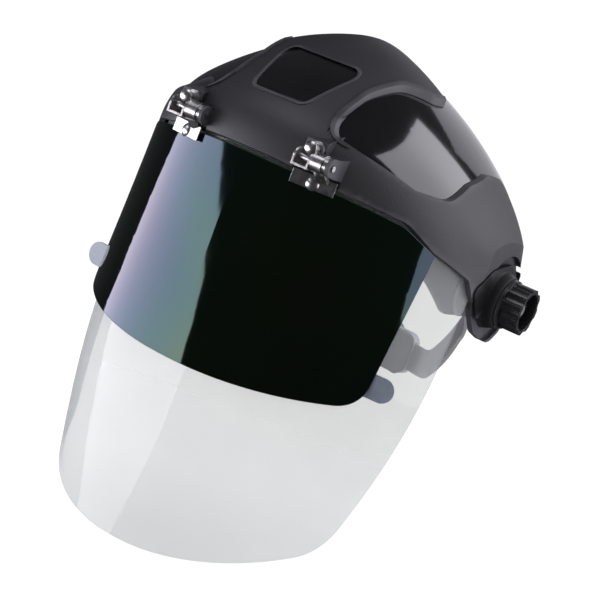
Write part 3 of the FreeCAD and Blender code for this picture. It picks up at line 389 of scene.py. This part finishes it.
def apply_modifiers(piece):
    graph = bpy.context.evaluated_depsgraph_get()
    result = bpy.data.meshes.new_from_object(piece.evaluated_get(graph))
    piece.modifiers.clear()
    piece.data = result


def remeshed(piece, voxel):
    remesh = piece.modifiers.new("remesh", "REMESH")
    remesh.mode = "VOXEL"
    remesh.voxel_size = voxel
    apply_modifiers(piece)


def inflate(piece):
    """Puffs a closed pad with a cloth simulation; no point moves further than PAD_SWELL."""
    start = [vertex.co.copy() for vertex in piece.data.vertices]
    cloth = piece.modifiers.new("cloth", "CLOTH")
    cloth.settings.use_pressure = True
    cloth.settings.uniform_pressure_force = PAD_PRESSURE
    cloth.settings.effector_weights.gravity = 0.0
    cloth.settings.quality = 5
    cloth.settings.tension_stiffness = 22.0
    for number in range(1, PAD_FRAMES + 1):
        bpy.context.scene.frame_set(number)
    apply_modifiers(piece)
    for vertex, rest in zip(piece.data.vertices, start):
        moved = vertex.co - rest
        if moved.length > PAD_SWELL:
            vertex.co = rest + moved.normalized() * PAD_SWELL
    bpy.context.scene.frame_set(1)


def smooth_pad(piece):
    soften = piece.modifiers.new("soften", "SMOOTH")
    soften.factor = 0.5
    soften.iterations = 4
    finer = piece.modifiers.new("finer", "SUBSURF")
    finer.levels = 1
    finer.render_levels = 1
    apply_modifiers(piece)
    for face in piece.data.polygons:
        face.use_smooth = True


def shrink(piece):
    """Moves every point inwards along its normal, so the pad can swell back to its size."""
    mesh = bmesh.new()
    mesh.from_mesh(piece.data)
    mesh.normal_update()
    for vertex in mesh.verts:
        vertex.co -= vertex.normal * PAD_SHRINK
    mesh.to_mesh(piece.data)
    mesh.free()


def foam_pad(node, name, body, material):
    """Foam pad with a fabric face, in the place of its plain node."""
    piece = copied_node(node, name)
    remeshed(piece, PAD_CLOSE_VOXEL)
    shrink(piece)
    remeshed(piece, PAD_CLOTH_VOXEL)
    inflate(piece)
    smooth_pad(piece)
    paint(piece, material)
    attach(piece, body)
    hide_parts(node)


# ---------------------------------------------------------------- flexible rear bands
def flexible_band(side, material):
    """Strap from the ear to the ratchet (the real one stretches as the ratchet slides): a painted copy of
    its node, in the node's place.
    """
    node = side + "_rear_band"
    piece = copied_node(node, side + "_flexible_band")
    paint(piece, material)
    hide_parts(node)
    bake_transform(piece)


# ---------------------------------------------------------------- studio
def soft_light(name, direction, distance, size, power, roll=0.0, shape="RECTANGLE"):
    """Softbox in a direction (turn, rise, in degrees) from LIGHT_TARGET, facing it; roll in degrees."""
    data = bpy.data.lights.new(name, "AREA")
    data.shape = shape
    data.size, data.size_y = size
    data.energy = power
    data.color = (0.94, 0.925, 1.0)
    lamp = bpy.data.objects.new(name, data)
    lamp.visible_camera = False
    bpy.context.scene.collection.objects.link(lamp)
    turn, rise = (math.radians(value) for value in direction)
    away = Vector((math.sin(turn) * math.cos(rise), -math.cos(turn) * math.cos(rise), math.sin(rise)))
    place = Matrix.Translation(LIGHT_TARGET + away * distance)
    facing = away.to_track_quat("Z", "Y").to_matrix().to_4x4()
    lamp.matrix_world = place @ facing @ Matrix.Rotation(math.radians(roll), 4, "Z")


def make_floor():
    """Pale sheet below the shield that fades out into the white surroundings."""
    mesh = bmesh.new()
    bmesh.ops.create_circle(mesh, cap_ends=True, segments=96, radius=FLOOR_REACH)
    data = bpy.data.meshes.new("studio_floor")
    mesh.to_mesh(data)
    mesh.free()
    floor = bpy.data.objects.new("studio_floor", data)
    bpy.context.scene.collection.objects.link(floor)
    floor.location.z = cad_box[0][2] - FLOOR_GAP
    floor.visible_glossy = False
    b = Builder("studio_floor")
    mottle = b.noise(3.0, 2.0)
    colour = b.ramp(mottle, [(0.3, grey(0.86)), (0.7, grey(0.88))])
    sheet = b.add("ShaderNodeBsdfDiffuse", None, Color=colour)
    fade = b.add("ShaderNodeMapRange", {"interpolation_type": "SMOOTHSTEP"}, Value=b.distance_of(b.place))
    fade.inputs["From Max"].default_value = FLOOR_REACH * 0.95
    fade.inputs["To Min"].default_value = 0.55
    nothing = b.add("ShaderNodeBsdfTransparent")
    paint(floor, b.finish(b.blended(fade.outputs["Result"], sheet.outputs[0], nothing.outputs[0])))


def make_world():
    """White surroundings, and dim ones for what the gloss mirrors, so that the softboxes show in it."""
    world = bpy.data.worlds.new("studio")
    world.use_nodes = True
    tree = world.node_tree
    tree.nodes.clear()
    bright = tree.nodes.new("ShaderNodeBackground")
    bright.inputs["Color"].default_value = rgba(1.0, 1.0, 1.0)
    bright.inputs["Strength"].default_value = 1.05
    dim = tree.nodes.new("ShaderNodeBackground")
    dim.inputs["Color"].default_value = rgba(0.9, 0.92, 1.0)
    dim.inputs["Strength"].default_value = 0.05
    path = tree.nodes.new("ShaderNodeLightPath")
    mix = tree.nodes.new("ShaderNodeMixShader")
    output = tree.nodes.new("ShaderNodeOutputWorld")
    tree.links.new(path.outputs["Is Glossy Ray"], mix.inputs[0])
    tree.links.new(bright.outputs[0], mix.inputs[1])
    tree.links.new(dim.outputs[0], mix.inputs[2])
    tree.links.new(mix.outputs[0], output.inputs["Surface"])
    bpy.context.scene.world = world
    bpy.context.scene.view_settings.view_transform = "Standard"


def make_lights():
    soft_light("left_softbox", (-56.0, -15.5), 1.5, (2.2, 0.8), 27.0, -9.0, "ELLIPSE")
    soft_light("right_softbox", (120.0, 26.0), 1.5, (1.55, 2.2), 30.0)
    soft_light("top_softbox", (-20.0, 60.0), 1.6, (0.8, 0.7), 6.0)
    soft_light("back_softbox", (186.0, 22.0), 1.6, (1.2, 1.2), 3.2)


make_camera()
materials = make_materials()
paint_nodes(materials)
foam_pad("brow_pad", "soft_brow_pad", "headgear", materials["pad_foam"])
foam_pad("nape_pad", "soft_nape_pad", "ratchet", materials["pad_foam"])
for side in ("left", "right"):
    flexible_band(side, materials["headgear_plastic"])
make_floor()
make_world()
make_lights()
